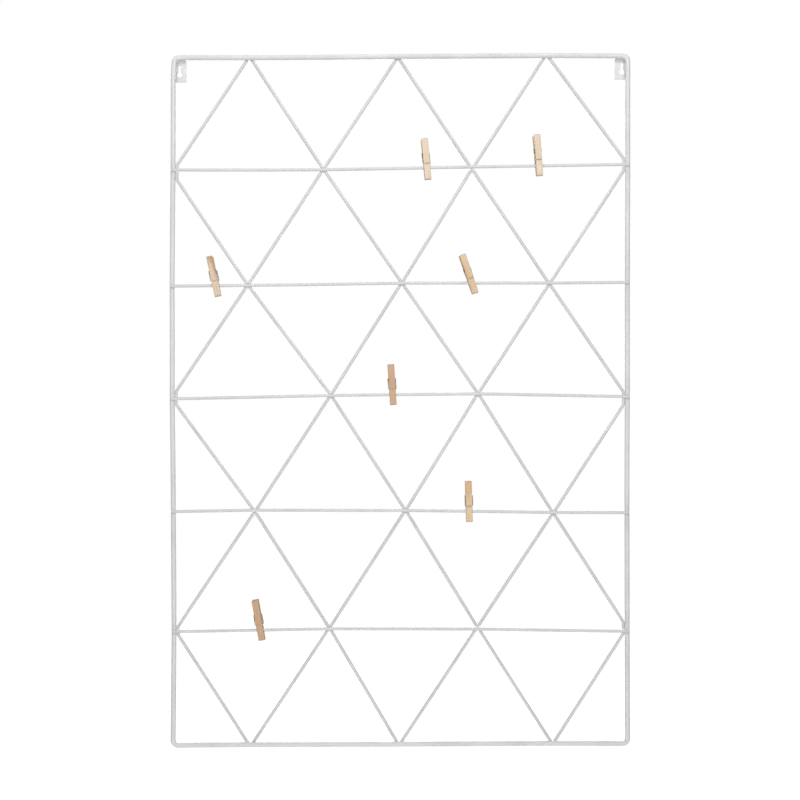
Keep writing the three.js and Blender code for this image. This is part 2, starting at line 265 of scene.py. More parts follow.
@dataclass(frozen=True)
class PowderCoat(CloudedFinish):
    """White polyester powder coat, sprayed dry and baked on steel.

    The melt levels out to a satin skin with a faint orange peel, a little thinner and cooler in tone in some
    places than in others. It is a little greyer on the wires than on the rod. On flat sheet it is drawn
    whiter,
    which is painted light: it makes up for the shade that the hanger leaves lie in behind the top bar.
    """

    roughness_low: float = 0.5
    roughness_high: float = 0.64
    # The real peel's cells are about 0.7 mm wide: they are drawn coarser, so that they show in the render
    relief_width: float = 1.6
    relief_depth: float = 0.0012
    relief_roughness: float = 0.45
    cloud_width: float = 38.0
    cloud_roughness: float = 0.6
    cloud_low: float = 0.42
    cloud_high: float = 0.7
    slot: str = "white_powder_coat"

    def shading(self) -> dict[str, float]:
        """The shader's settings for a polyester skin."""
        return {"IOR": 1.5, "Metallic": 0.0}


COAT_ON_ROD = PowderCoat("white_coat_on_rod", "e1e1e2", "d8d8d9")
COAT_ON_WIRE = PowderCoat("white_coat_on_wire", "dcdcdd", "d4d4d5")
# Whiter on sheet as painted light, for the shade that the hanger leaves lie in behind the top bar
COAT_ON_SHEET_PAINTED_LIGHTER = PowderCoat("white_coat_on_sheet", "e9e9ea", "e2e2e3")


@dataclass(frozen=True)
class DrawnSteel(CloudedFinish):
    """Cold drawn spring steel wire, zinc plated and then oiled.

    It is a bright warm grey metal, finely roughened, and darker and browner where the oil has dried.
    """

    name: str = "spring_steel"
    colour: str = "b5a998"
    cloud_colour: str = "83786a"
    roughness_low: float = 0.34
    roughness_high: float = 0.52
    relief_width: float = 0.12
    relief_depth: float = 0.004
    relief_roughness: float = 0.5
    cloud_width: float = 1.6
    cloud_roughness: float = 0.65
    cloud_low: float = 0.38
    cloud_high: float = 0.66

    def shading(self) -> dict[str, float]:
        """The shader's settings for a metal."""
        return {"Metallic": 1.0}


@dataclass(frozen=True)
class PegBirch:
    """Birch sawn into strips, profiled, cut to length and tumbled smooth, with no oil or lacquer.

    The cut shows long fibres, soft bands of the yearly rings, and darker heartwood in some of the pegs. Sides
    and ends are darker than the planed faces, from the saw and from handling; on the sides and along the
    edges next to them the darkening is also painted shade, as they turn away from the lamps.
    """

    slot: str
    sapwood: str
    heartwood: str
    latewood: str
    # Colour of sides, edges and ends: wear from the saw and from handling, and painted shade on the sides and
    # edges
    handled: str
    heart_share: float = 0.5
    # How much the share of heartwood grows for each millimetre to the right and upwards
    heart_lean: tuple[float, float] = (0.0, 0.0)
    # The values of the noise between which heartwood comes up if it has no share, and how far a full share
    # moves them
    heart_low: float = 0.62
    heart_high: float = 0.78
    heart_reach: float = 0.4
    band_strength: float = 0.4
    ring_width: float = 2.1
    ring_length: float = 18.9
    ring_distortion: float = 2.6
    streak_width: float = 1.3
    streak_length: float = 26.0
    streak_strength: float = 0.5
    # Real fibres are about 0.03 mm wide: they are drawn coarser, so that they show in the render
    fibre_width: float = 0.32
    fibre_length: float = 9.0
    fibre_depth: float = 0.02
    fibre_strength: float = 0.3
    patch_width: float = 7.0
    patch_length: float = 24.0
    # How far in from the sides and from the ends the darker colour reaches, and how strongly: wear, and
    # painted shade on the sides
    edge_width: float = 1.4
    edge_strength: float = 0.6
    end_width: float = 1.7
    end_strength: float = 0.75
    roughness_low: float = 0.55
    roughness_high: float = 0.75
    # The detail and the roughness of each noise
    fibre_noise: tuple[float, float] = (3.0, 0.6)
    patch_noise: tuple[float, float] = (2.0, 0.5)
    streak_noise: tuple[float, float] = (1.5, 0.5)
    # Each pattern comes up between these of its values
    rings_show: tuple[float, float] = (0.45, 1.0)
    streaks_show: tuple[float, float] = (0.45, 0.7)
    fibres_show: tuple[float, float] = (0.5, 0.8)
    # The fibres' noise hardly leaves these values, between which the roughness runs from end to end
    fibres_reach: tuple[float, float] = (0.3, 0.7)
    # A wave texture repeats every 0.314 of its scaled units, so this scale gives one band a ring
    ring_scale: float = 0.314
    ring_detail: float = 2.0
    ring_detail_scale: float = 0.4
    ior: float = 1.45
    specular: float = 0.35
    # Each half is cut from another place in the log, its grain up to this many degrees off its length
    log_reach: float = 50.0
    grain_lean: float = 2.5

    def patterns(
        self,
        tree: bpy.types.NodeTree,
        own: bpy.types.NodeSocket,
        chance: random.Random,
    ) -> tuple[bpy.types.NodeSocket, ...]:
        """Draws what the grain is made of, each pattern in cells of a size across and along the grain.

        Args:
            tree: The material's tree.
            own: The half's own coordinates, in millimetres.
            chance: Where in the log the half was cut.

        Returns:
            The fibres, the patches, the rings and the streaks.
        """
        fibre_cells, patch_cells, ring_cells, streak_cells = (
            add_node(
                tree,
                "ShaderNodeMapping",
                {
                    "Location": [chance.uniform(-self.log_reach, self.log_reach) for _ in range(3)],
                    "Rotation": (0, math.radians(chance.uniform(-self.grain_lean, self.grain_lean)), 0),
                    "Scale": (1 / across, 1 / across, 1 / along),
                },
                {"Vector": own},
            ).outputs["Vector"]
            for across, along in (
                (self.fibre_width, self.fibre_length),
                (self.patch_width, self.patch_length),
                (self.ring_width, self.ring_length),
                (self.streak_width, self.streak_length),
            )
        )
        fibres, patches, streaks = (
            add_node(
                tree,
                "ShaderNodeTexNoise",
                {"Scale": 1.0, "Detail": detail, "Roughness": share},
                {"Vector": cells},
            ).outputs["Fac"]
            for cells, (detail, share) in (
                (fibre_cells, self.fibre_noise),
                (patch_cells, self.patch_noise),
                (streak_cells, self.streak_noise),
            )
        )
        waves = {
            "wave_type": "BANDS",
            "bands_direction": "X",
            "wave_profile": "SAW",
            "Scale": self.ring_scale,
            "Distortion": self.ring_distortion,
            "Detail": self.ring_detail,
            "Detail Scale": self.ring_detail_scale,
        }
        rings = add_node(tree, "ShaderNodeTexWave", waves, {"Vector": ring_cells}).outputs["Fac"]
        return fibres, patches, rings, streaks

    def make(
        self,
        name: str,
        place: Matrix,
        half_width: float,
        ends: tuple[float, float],
    ) -> bpy.types.Material:
        """Makes the material of one half of a peg, its grain running along that half.

        Args:
            name: The material's name.
            place: Where the half's own frame lies in the model, in metres.
            half_width: Half of the peg's width, in millimetres.
            ends: The lowest and highest place along the half, in millimetres.

        Returns:
            The material.
        """
        material, tree = new_material(name)
        spot, turn, _ = place.decompose()
        own = add_node(
            tree,
            "ShaderNodeMapping",
            {"vector_type": "TEXTURE", "Location": spot, "Rotation": turn.to_euler(), "Scale": (MM, MM, MM)},
            {"Vector": add_node(tree, "ShaderNodeTexCoord").outputs["Object"]},
        ).outputs["Vector"]
        axes = add_node(tree, "ShaderNodeSeparateXYZ", links={"Vector": own}).outputs
        aside = add_node(tree, "ShaderNodeMath", {"operation": "ABSOLUTE"}, {0: axes["X"]}).outputs["Value"]
        fibres, leaning, rings, streaks = self.patterns(tree, own, random.Random(name))
        for axis, growth in zip("XZ", self.heart_lean):
            lean = {"operation": "MULTIPLY_ADD", 1: growth}
            leaning = add_node(tree, "ShaderNodeMath", lean, {0: axes[axis], 2: leaning}).outputs["Value"]
        low, high = ends
        move = self.heart_reach * self.heart_share
        roughness, heart, late, streak, fibre, *worn_and_shaded = (
            add_node(
                tree,
                "ShaderNodeMapRange",
                {"From Min": start, "From Max": end, "To Min": least, "To Max": most},
                {"Value": value},
            ).outputs["Result"]
            # Each row is a value, the ends of its range, and what it brings at either end
            for value, start, end, least, most in (
                (fibres, *self.fibres_reach, self.roughness_low, self.roughness_high),
                (leaning, self.heart_low - move, self.heart_high - move, 0.0, 1.0),
                (rings, *self.rings_show, 0.0, self.band_strength),
                (streaks, *self.streaks_show, 0.0, self.streak_strength),
                (fibres, *self.fibres_show, 0.0, self.fibre_strength),
                (aside, half_width - self.edge_width, half_width, 0.0, self.edge_strength),
                (axes["Z"], low + self.end_width, low, 0.0, self.end_strength),
                (axes["Z"], high - self.end_width, high, 0.0, self.end_strength),
            )
        )
        # The darker colour on sides, edges and ends is wear, and painted shade on the sides and edges
        layers = [
            (heart, self.heartwood),
            *((share, self.latewood) for share in (late, streak, fibre)),
            (strongest(tree, worn_and_shaded), self.handled),
        ]
        colour = layered(tree, self.sapwood, layers)
        depth = {"Strength": 1.0, "Distance": self.fibre_depth * MM, "invert": True}
        shading = {"IOR": self.ior, "Metallic": 0.0, "Specular IOR Level": self.specular}
        add_surface(tree, colour, roughness, fibres, depth, shading)
        return material


PALE_BIRCH = PegBirch(
    slot="peg_wood_pale",
    sapwood="f0ddc9",
    heartwood="ecd6be",
    latewood="dfc6ab",
    handled="cabba8",
    heart_share=0.45,
)
GRAINED_BIRCH = PegBirch(
    slot="peg_wood_grained",
    sapwood="ebd7bf",
    heartwood="c2a07a",
    latewood="b3916c",
    handled="bfae9a",
    heart_share=0.28,
    heart_lean=(0.035, 0.009),
)
TAN_BIRCH = PegBirch(
    slot="peg_wood_tan",
    sapwood="e7ccad",
    heartwood="e3c29d",
    latewood="d3af87",
    handled="bda98f",
)
HONEY_BIRCH = PegBirch(
    slot="peg_wood_tan",
    sapwood="e9cfaf",
    heartwood="deba8e",
    latewood="d7b48c",
    handled="c0ab91",
    heart_share=0.2,
    heart_lean=(0.0, 0.01),
)
ROSY_BIRCH = PegBirch(
    slot="peg_wood_brown",
    sapwood="d5b393",
    heartwood="d2ac8a",
    latewood="c19974",
    handled="b09b86",
)


# The bench: a piece in work, shaped with the ordinary modelling operators


class Pick(Enum):
    """What can be picked out on a workpiece: the select mode, and the mesh's list of them."""

    POINTS = ("VERT", "vertices")
    FACES = ("FACE", "polygons")


class Workpiece:
    """A mesh in edit mode, of which what is selected is fed and bent. Places are in millimetres."""

    def __init__(self, name: str) -> None:
        """Takes up the primitive that was just added.

        Args:
            name: The piece's name.
        """
        self.object = bpy.context.object
        self.object.name = name
        self.object.data.name = name
        bpy.ops.object.transform_apply(location=True, rotation=True, scale=True)
        bpy.ops.object.mode_set(mode="EDIT")
        bpy.ops.mesh.select_mode(type="VERT")
        bpy.ops.mesh.select_all(action="SELECT")

    @classmethod
    def disc(cls, name: str, centre: Vector, heading: Vector, radius: float, sides: int) -> "Workpiece":
        """Starts a piece as a flat round disc, the cut end of a wire.

        Args:
            name: The piece's name.
            centre: The disc's centre.
            heading: The way that the disc faces.
            radius: The disc's radius.
            sides: The number of points round it.

        Returns:
            The workpiece, with the disc selected.
        """
        bpy.ops.object.select_all(action="DESELECT")
        bpy.ops.mesh.primitive_circle_add(
            vertices=sides,
            radius=radius * MM,
            fill_type="NGON",
            location=centre * MM,
            rotation=heading.to_track_quat("Z", "Y").to_euler(),
        )
        return cls(name)

    @classmethod
    def strip(cls, name: str, centre: Vector, width: float, thickness: float) -> "Workpiece":
        """Starts a piece as the cut end of a flat strip that faces along Y.

        Args:
            name: The piece's name.
            centre: The middle of the end.
            width: Its size along X.
            thickness: Its size along Z.

        Returns:
            The workpiece, with the end selected.
        """
        bpy.ops.object.select_all(action="DESELECT")
        bpy.ops.mesh.primitive_plane_add(size=MM, location=centre * MM, rotation=(math.pi / 2, 0, 0))
        piece = cls(name)
        bpy.ops.transform.resize(value=(width, 1, thickness))
        return piece

    @classmethod
    def drawn(cls, name: str, points: list[Vector]) -> "Workpiece":
        """Starts a piece as a closed outline, drawn from point to point.

        Args:
            name: The piece's name.
            points: The outline's points, in order.

        Returns:
            The workpiece, with the outline selected.
        """
        bpy.ops.object.select_all(action="DESELECT")
        bpy.ops.mesh.primitive_plane_add(size=MM, location=points[0] * MM)
        piece = cls(name)
        bpy.ops.mesh.merge(type="CENTER")
        for before, after in zip(points, [*points[1:], points[0]]):
            piece.feed(after - before)
        piece.merge_doubles(distance=0.005)
        return piece

    def feed(self, by: Vector) -> None:
        """Extrudes what is selected by a distance.

        Args:
            by: The distance and its direction.
        """
        bpy.ops.mesh.extrude_region_move(TRANSFORM_OT_translate={"value": by * MM})

    def bend(self, centre: Vector, axis: Vector, angle: float, steps: int) -> None:
        """Spins what is selected round a centre. Blender spins against the right-hand rule.

        Args:
            centre: A point on the bend's axis.
            axis: The bend's axis.
            angle: The angle, in radians.
            steps: The number of steps that it takes.
        """
        bpy.ops.mesh.spin(steps=steps, dupli=False, angle=angle, center=centre * MM, axis=axis)

    def select(self, kind: Pick, wanted: Callable[[bpy.types.bpy_struct], bool]) -> None:
        """Selects the points or faces that are wanted, and nothing else.

        Args:
            kind: Whether points or faces are picked out.
            wanted: Says whether one is wanted.
        """
        mode, elements = kind.value
        bpy.ops.mesh.select_mode(type=mode)
        bpy.ops.mesh.select_all(action="DESELECT")
        bpy.ops.object.mode_set(mode="OBJECT")
        for element in getattr(self.object.data, elements):
            element.select = wanted(element)
        bpy.ops.object.mode_set(mode="EDIT")

    def round_border(self, width: float, segments: int) -> None:
        """Bevels the border of the faces that are selected.

        Args:
            width: The bevel's width.
            segments: The number of its segments.
        """
        bpy.ops.mesh.region_to_loop()
        bpy.ops.mesh.bevel(offset=width * MM, segments=segments, affect="EDGES", clamp_overlap=False)

    def merge_doubles(self, distance: float = 0.02) -> None:
        """Merges points that lie closer together than a distance, all over the piece."""
        bpy.ops.mesh.select_all(action="SELECT")
        bpy.ops.mesh.remove_doubles(threshold=distance * MM)

    def done(self, smooth_below: float = 35.0) -> bpy.types.Object:
        """Turns all faces outwards and takes the piece off the bench.

        Args:
            smooth_below: The angle between faces, in degrees, up to which their shading runs on.

        Returns:
            The finished object.
        """
        bpy.ops.mesh.select_all(action="SELECT")
        bpy.ops.mesh.normals_make_consistent(inside=False)
        bpy.ops.object.mode_set(mode="OBJECT")
        bpy.ops.object.shade_smooth_by_angle(angle=math.radians(smooth_below))
        return self.object


def take_up(*pieces: bpy.types.Object) -> None:
    """Selects pieces and nothing else, the first of them as the active one.

    Args:
        *pieces: The pieces.
    """
    bpy.ops.object.select_all(action="DESELECT")
    for piece in pieces:
        piece.select_set(True)
    bpy.context.view_layer.objects.active = pieces[0]


def work_with(piece: bpy.types.Object, kind: str, name: str, **settings: object) -> None:
    """Takes a piece up, gives it a modifier and applies that.

    Args:
        piece: The piece, in object mode.
        kind: Blender's name for the kind of modifier.
        name: The modifier's own name.
        **settings: Its settings.
    """
    take_up(piece)
    modifier = piece.modifiers.new(name, kind)
    for setting, value in settings.items():
        setattr(modifier, setting, value)
    bpy.ops.object.modifier_apply(modifier=name)


def arc(
    centre: tuple[float, float],
    radii: tuple[float, float],
    angles: tuple[float, float],
    steps: int,
) -> list[tuple[float, float]]:
    """Points on an arc of a circle or an ellipse.

    Args:
        centre: Its centre.
        radii: Its radii along the first and the second axis.
        angles: Where it starts and ends, in radians.
        steps: The number of steps between the points.

    Returns:
        The points.
    """
    start, end = angles
    turns = (start + (end - start) * step / steps for step in range(steps + 1))
    return [(centre[0] + radii[0] * math.cos(turn), centre[1] + radii[1] * math.sin(turn)) for turn in turns]


def copy_of(pattern: bpy.types.Object, name: str, place: Matrix) -> bpy.types.Object:
    """Copies a piece with a mesh of its own, moved to its place.

    Args:
        pattern: The piece that is copied.
        name: The copy's name.
        place: Where the pattern's frame lies in the model, in metres.

    Returns:
        The copy, its object at the origin.
    """
    mesh = pattern.data.copy()
    mesh.name = name
    mesh.transform(place)
    made = bpy.data.objects.new(name, mesh)
    bpy.context.scene.collection.objects.link(made)
    return made


def joined(pieces: list[bpy.types.Object], name: str) -> bpy.types.Object:
    """Joins pieces into one object.

    Args:
        pieces: The pieces, two or more.
        name: The name of what they make.

    Returns:
        The object.
    """
    take_up(*pieces)
    bpy.ops.object.join()
    made = bpy.context.object
    made.name = name
    made.data.name = name
    return made


def dress(
    piece: bpy.types.Object,
    material: bpy.types.Material,
    body: str,
    nodes: tuple[str, ...] = (),
) -> None:
    """Gives a finished piece its material, its body and what it stands for.

    Args:
        piece: The piece.
        material: Its material.
        body: The body that it moves with.
        nodes: The CAD nodes that it replaces.
    """
    piece.data.materials.clear()
    piece.data.materials.append(material)
    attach(piece, body)
    if nodes:
        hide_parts(*nodes)
    log.info("%s: %d faces on %s", piece.name, len(piece.data.polygons), body)


# The lattice


# Where the wires are welded, from the top bar down, and from the left bar to the right bar: the distance from
# the left bar and the height over the bottom bar, as shares of the distance between the bars
ROW_SHARES = (
    ((0.0024, 0.9983), (0.1658, 0.9984), (0.496, 1.0003), (0.8219, 1.0016), (1.0008, 1.0009)),
    ((-0.0002, 0.8339), (0.3309, 0.8341), (0.659, 0.8382), (1.0008, 0.8419)),
    ((-0.0022, 0.6656), (0.1658, 0.6666), (0.5026, 0.6699), (0.8285, 0.6701), (0.9998, 0.6711)),
    ((-0.0021, 0.5023), (0.3463, 0.5072), (0.67, 0.5096), (0.9998, 0.5055)),
    ((0.0004, 0.3389), (0.1812, 0.3411), (0.5114, 0.3406), (0.8373, 0.3377), (0.9989, 0.3374)),
    ((0.002, 0.1649), (0.3463, 0.1692), (0.6722, 0.1688), (0.9995, 0.1655)),
    ((-0.0002, -0.0016), (0.1724, -0.0007), (0.5004, 0.0001), (0.8351, 0.0012), (1.0004, 0.0009)),
)

# Where the left bar starts to lean inwards below its top corner, in the same shares
LEAN_SHARES = (0.0002, 0.966)

# How far the hairpins slipped from each inner weld, to the right and up, as shares of the wire's diameter
SLIP_SHARES = (
    ((0.17, 0.21), (-0.22, -0.4), (0.14, 0.27)),
    ((0.01, 0.39), (-0.2, -0.46)),
    ((-0.16, 0.29), (0.09, 0.24), (-0.09, -0.15)),
    ((0.12, 0.12), (0.16, 0.1)),
    ((-0.14, -0.59), (0.02, -0.05), (-0.15, -0.27)),
    ((-0.32, 0.05), (-0.37, 0.47)),
    ((-0.55, -0.44), (-0.48, -0.14), (0.21, -0.03)),
)

# How far each zigzag wire runs along the side bars at its left and right end, as shares of the rows' distance
TAIL_SHARES = ((0.033, 0.041), (0.068, 0.032), (0.052, 0.029), (0.035, 0.059), (0.024, 0.063), (0.017, 0.012))


@dataclass(frozen=True)
class Layout:
    """The rack's driving sizes, and the places that follow from them."""

    width: float = 600.0
    height: float = 905.0
    rod_diameter: float = 6.3
    wire_diameter: float = 4.0
    corner_radius: float = 7.0
    hairpin_radius: float = 3.1
    tail_radius: float = 4.0
    easy_radius: float = 90.0
    weld_gap: float = 0.3
    wall_stand_off: float = 12.0
    keyhole_seat_drop: float = 8.8
    right_plate_raise: float = 1.6
    cross_wire_reach_share: float = 0.7

    @property
    def span(self) -> tuple[float, float]:
        """The distances between the side bars, and between the top and bottom bar."""
        return self.width - self.rod_diameter, self.height - self.rod_diameter

    @property
    def row_distance(self) -> float:
        """The distance from one row to the next."""
        return self.span[1] / (len(ROW_SHARES) - 1)

    @property
    def rod_depth(self) -> float:
        """The depth of the frame rod's centre line."""
        return -self.wall_stand_off

    @property
    def cross_depth(self) -> float:
        """The depth of the cross wires' centre lines, in front of the rod."""
        return self.rod_depth - (self.rod_diameter + self.wire_diameter) / 2 - self.weld_gap

    @property
    def zigzag_depth(self) -> float:
        """The depth of the zigzag wires' centre lines, behind the cross wires."""
        return self.cross_depth + self.wire_diameter + self.weld_gap

    @property
    def behind_bar_depth(self) -> float:
        """The depth of a hairpin that lies behind the top or bottom bar."""
        return self.rod_depth + (self.rod_diameter + self.wire_diameter) / 2 + self.weld_gap

    @property
    def seat_height(self) -> float:
        """The height of the screws' seats over the bottom bar."""
        corners = (ROW_SHARES[0][0][1] + ROW_SHARES[0][-1][1]) * self.span[1]
        return (corners + self.right_plate_raise) / 2 - self.keyhole_seat_drop

    def place(self, shares: tuple[float, float], depth: float) -> Vector:
        """The place of a weld.

        Args:
            shares: How far across and up it lies, as shares of the distances between the bars.
            depth: Its depth.

        Returns:
            The place.
        """
        across, up = shares
        return Vector((across * self.span[0] - self.span[0] / 2, depth, up * self.span[1] - self.seat_height))

    def tips(self, row: int, depth: float, lift: float) -> list[Vector]:
        """The tips of the hairpins along one row.

        Args:
            row: The row's number, 0 being the top bar.
            depth: Their depth.
            lift: How far above the row they were meant to lie.

        Returns:
            The tips, each where it has slipped to.
        """
        inner = zip(ROW_SHARES[row][1:-1], SLIP_SHARES[row])
        return [
            self.place(place, depth) + Vector((along, 0, up)) * self.wire_diameter + Vector((0, 0, lift))
            for place, (along, up) in inner
        ]


@dataclass
class Corner:
    """A place where a wire changes direction, and the radius of its centre line there."""

    point: Vector
    radius: float


@dataclass
class BentWire:
    """A wire that is fed straight on and bent round each corner, as a bending machine does it."""

    name: str
    corners: list[Corner]
    diameter: float
    closed: bool = False
    sides: int = 18
    bend_step: float = 8.0
    end_rounding: float = 0.45
    feed_length: float = 18.0
    # What hand straightening leaves: the middle of a straight of that length lies off its line by the bow
    bow: float = 0.22
    bow_length: float = 160.0
    # Turns below this many degrees, and last lengths under this share of the diameter, are left out
    least_turn: float = 0.02
    least_length_share: float = 0.1
    chance: random.Random = field(init=False)

    def __post_init__(self) -> None:
        """Seeds the wire's own bows by its name."""
        self.chance = random.Random(self.name)

    def feed_straight(self, work: Workpiece, start: Vector, end: Vector) -> None:
        """Feeds the wire in short lengths, with a slight bow.

        Args:
            work: The wire in work, its front end selected.
            start: Where the straight starts.
            end: Where it ends.
        """
        run = end - start
        parts = max(1, round(run.length / self.feed_length))
        off = self.bow * min(1.0, run.length / self.bow_length) ** 2
        sideways = run.normalized().cross(Vector((0, 1, 0))) * self.chance.uniform(-off, off)
        sideways.y += self.chance.uniform(-off, off) / 2
        at = start
        for part in range(1, parts + 1):
            share = part / parts
            target = start + run * share + sideways * math.sin(math.pi * share)
            work.feed(target - at)
            at = target

    def form(self) -> bpy.types.Object:
        """Shapes the wire.

        Returns:
            The finished wire.
        """
        points = [corner.point for corner in self.corners]
        work = Workpiece.disc(self.name, points[0], points[1] - points[0], self.diameter / 2, self.sides)
        at = points[0]
        for before, corner, after in zip(points, self.corners[1:], points[2:]):
            inward = (corner.point - before).normalized()
            outward = (after - corner.point).normalized()
            turn = inward.angle(outward)
            tangent = corner.radius * math.tan(turn / 2)
            start = corner.point - inward * tangent
            side = (outward - inward * inward.dot(outward)).normalized()
            self.feed_straight(work, at, start)
            if turn > math.radians(self.least_turn):
                steps = max(2, math.ceil(math.degrees(turn) / self.bend_step))
                work.bend(start + side * corner.radius, side.cross(inward), turn, steps)
            at = corner.point + outward * tangent
        if (points[-1] - at).length > self.diameter * self.least_length_share:
            self.feed_straight(work, at, points[-1])
        work.select(Pick.FACES, lambda face: len(face.vertices) == self.sides)
        if self.closed:
            bpy.ops.mesh.delete(type="ONLY_FACE")
        else:
            work.round_border(self.end_rounding, segments=3)
        work.merge_doubles()
        return work.done()


@dataclass(frozen=True)
class Bead:
    """A spot of weld under the coat: its middle, and how far it reaches along X, Y and Z."""

    middle: Vector
    reach: tuple[float, float, float]


@dataclass
class Lattice:
    """The welded wire work: the frame rod, its cross wires and zigzag wires, and the weld spots."""

    layout: Layout
    coats: dict[str, bpy.types.Material] = field(default_factory=dict)
    rod_sides: int = 28
    rod_bend_step: float = 5.0
    cut_end_rounding: float = 0.7
    butt_length: float = 4.0
    butt_height: float = 0.15
    butt_sink: float = 0.05
    butt_fullness: float = 0.6
    butt_steps: int = 8
    # How far weld spots reach along X, Y and Z, behind the bars, at the crossings, under the ends of the
    # cross wires and beside the tails
    bar_bead: tuple[float, float, float] = (2.7, 0.85, 1.25)
    crossing_bead: tuple[float, float, float] = (2.9, 1.05, 1.7)
    end_bead: tuple[float, float, float] = (1.9, 0.65, 0.75)
    tail_bead: tuple[float, float, float] = (0.7, 0.95, 2.1)
    bar_bead_set_back_share: float = 0.125
    crossing_bead_set_back: float = 0.25
    end_bead_proud: float = 0.05
    end_bead_lift: float = 1.3
    tail_bead_lift: float = 3.4
    bead_roughness: float = 0.12

    def wear_coat(self, piece: bpy.types.Object, coat: PowderCoat, *nodes: str) -> None:
        """Coats a piece of the rack and lets it stand for its CAD nodes.

        Args:
            piece: The piece.
            coat: Its coat, which is made the first time a piece takes it on.
            *nodes: The CAD nodes that it replaces.
        """
        if coat.name not in self.coats:
            self.coats[coat.name] = coat.make()
        dress(piece, self.coats[coat.name], RACK_BODY, nodes)

    def build_rod(self) -> None:
        """Bends the frame rod round its four corners, from the butt weld below and back to it."""
        layout = self.layout
        bottom = ROW_SHARES[-1]
        top = ROW_SHARES[0]
        middle = len(bottom) // 2

        def corner(shares: tuple[float, float], radius: float = layout.easy_radius) -> Corner:
            """A place where the rod turns, and hardly so by default."""
            return Corner(layout.place(shares, layout.rod_depth), radius)

        rod = BentWire(
            name="frame_rod",
            corners=[
                *(corner(place) for place in reversed(bottom[1:middle + 1])),
                corner(bottom[0], layout.corner_radius),
                *(corner(row[0]) for row in reversed(ROW_SHARES[1:-1])),
                corner(LEAN_SHARES),
                corner(top[0], layout.corner_radius),
                *(corner(place) for place in top[1:-1]),
                corner(top[-1], layout.corner_radius),
                *(corner(row[-1]) for row in ROW_SHARES[1:-1]),
                corner(bottom[-1], layout.corner_radius),
                *(corner(place) for place in reversed(bottom[middle:-1])),
            ],
            diameter=layout.rod_diameter,
            closed=True,
            sides=self.rod_sides,
            bend_step=self.rod_bend_step,
        )
        self.wear_coat(rod.form(), COAT_ON_ROD, "outer_frame")

    def build_butt_weld(self) -> None:
        """Builds the flat bead that closes the frame rod, ground down to a slight swell round it."""
        layout = self.layout
        centre = layout.place(ROW_SHARES[-1][len(ROW_SHARES[-1]) // 2], layout.rod_depth)
        across = Vector((1, 0, 0))
        root = layout.rod_diameter / 2 - self.butt_sink

        def swell(share: float) -> float:
            """The bead's radius at a share of its length."""
            fullness = math.sin(math.pi * share) ** self.butt_fullness
            return root + (self.butt_height + self.butt_sink) * fullness

        start = centre - across * self.butt_length / 2
        work = Workpiece.disc("butt_weld", start, across, swell(0), self.rod_sides)
        for step in range(1, self.butt_steps + 1):
            work.feed(across * self.butt_length / self.butt_steps)
            growth = swell(step / self.butt_steps) / swell((step - 1) / self.butt_steps)
            bpy.ops.transform.resize(value=(1, growth, growth))
        self.wear_coat(work.done(smooth_below=60), COAT_ON_ROD)

    def cross_wire_points(self, row: int) -> list[Vector]:
        """The places that the centre line of a cross wire runs through.

        Args:
            row: The row's number, 0 being the top bar.

        Returns:
            The places, from left to right.
        """
        layout = self.layout
        points = [layout.place(place, layout.cross_depth) for place in ROW_SHARES[row]]
        reach = layout.rod_diameter * (layout.cross_wire_reach_share - 0.5)
        points[0].x -= reach
        points[-1].x += reach
        return points

    def build_cross_wires(self) -> None:
        """Cuts and lays the five cross wires."""
        for row in range(1, len(ROW_SHARES) - 1):
            wire = BentWire(
                name=f"row_wire_{row}",
                corners=[Corner(point, self.layout.easy_radius) for point in self.cross_wire_points(row)],
                diameter=self.layout.wire_diameter,
                end_rounding=self.cut_end_rounding,
            )
            self.wear_coat(wire.form(), COAT_ON_WIRE, f"cross_wire_{row}")

    def hairpin_corner(self, before: Vector, tip: Vector, after: Vector) -> Vector:
        """Where the two straights of a hairpin bend would cross, past the bend's own tip.

        Args:
            before: The place that the wire comes from.
            tip: The tip of the bend's centre line.
            after: The place that the wire goes to.

        Returns:
            The crossing.
        """
        back = (before - tip).normalized()
        onward = (after - tip).normalized()
        half_angle = back.angle(onward) / 2
        outward = -(back + onward).normalized()
        radius = self.layout.hairpin_radius
        return tip + outward * (radius / math.sin(half_angle) - radius)

    def build_zigzag_wires(self) -> None:
        """Bends the six zigzag wires, each from the left bar over five hairpins to the right bar."""
        layout = self.layout
        tip_offset = (layout.wire_diameter + layout.weld_gap) / 2
        side_offset = (layout.rod_diameter + layout.wire_diameter) / 2 + layout.weld_gap
        for band in range(1, len(ROW_SHARES)):
            side_row, other_row = (band, band - 1) if band % 2 else (band - 1, band)
            away = 1 if side_row > other_row else -1
            behind_bar = other_row in (0, len(ROW_SHARES) - 1)
            upward = Vector((0, 0, away))
            sides = ROW_SHARES[side_row]
            near = layout.tips(side_row, layout.zigzag_depth, away * tip_offset)
            if behind_bar:
                far = layout.tips(other_row, layout.behind_bar_depth, 0)
            else:
                far = layout.tips(other_row, layout.zigzag_depth, -away * tip_offset)
            tips = [far[0]]
            for inner, outer in zip(near, far[1:]):
                tips += [inner, outer]
            ends = []
            for place, direction, tail in zip((sides[0], sides[-1]), (1, -1), TAIL_SHARES[band - 1]):
                end = layout.place(place, layout.zigzag_depth) + upward * tip_offset
                end.x += direction * side_offset
                ends.append((end, end + upward * tail * layout.row_distance))
            (left_end, left_turn), (right_end, right_turn) = ends
            run = [left_turn, *tips, right_turn]
            wire = BentWire(
                name=f"hairpin_wire_{band}",
                corners=[
                    Corner(left_end, 0),
                    Corner(left_turn, layout.tail_radius),
                    *(
                        Corner(self.hairpin_corner(before, tip, after), layout.hairpin_radius)
                        for before, tip, after in zip(run, tips, run[2:])
                    ),
                    Corner(right_turn, layout.tail_radius),
                    Corner(right_end, 0),
                ],
                diameter=layout.wire_diameter,
            )
            self.wear_coat(wire.form(), COAT_ON_WIRE, f"zigzag_wire_{band}")

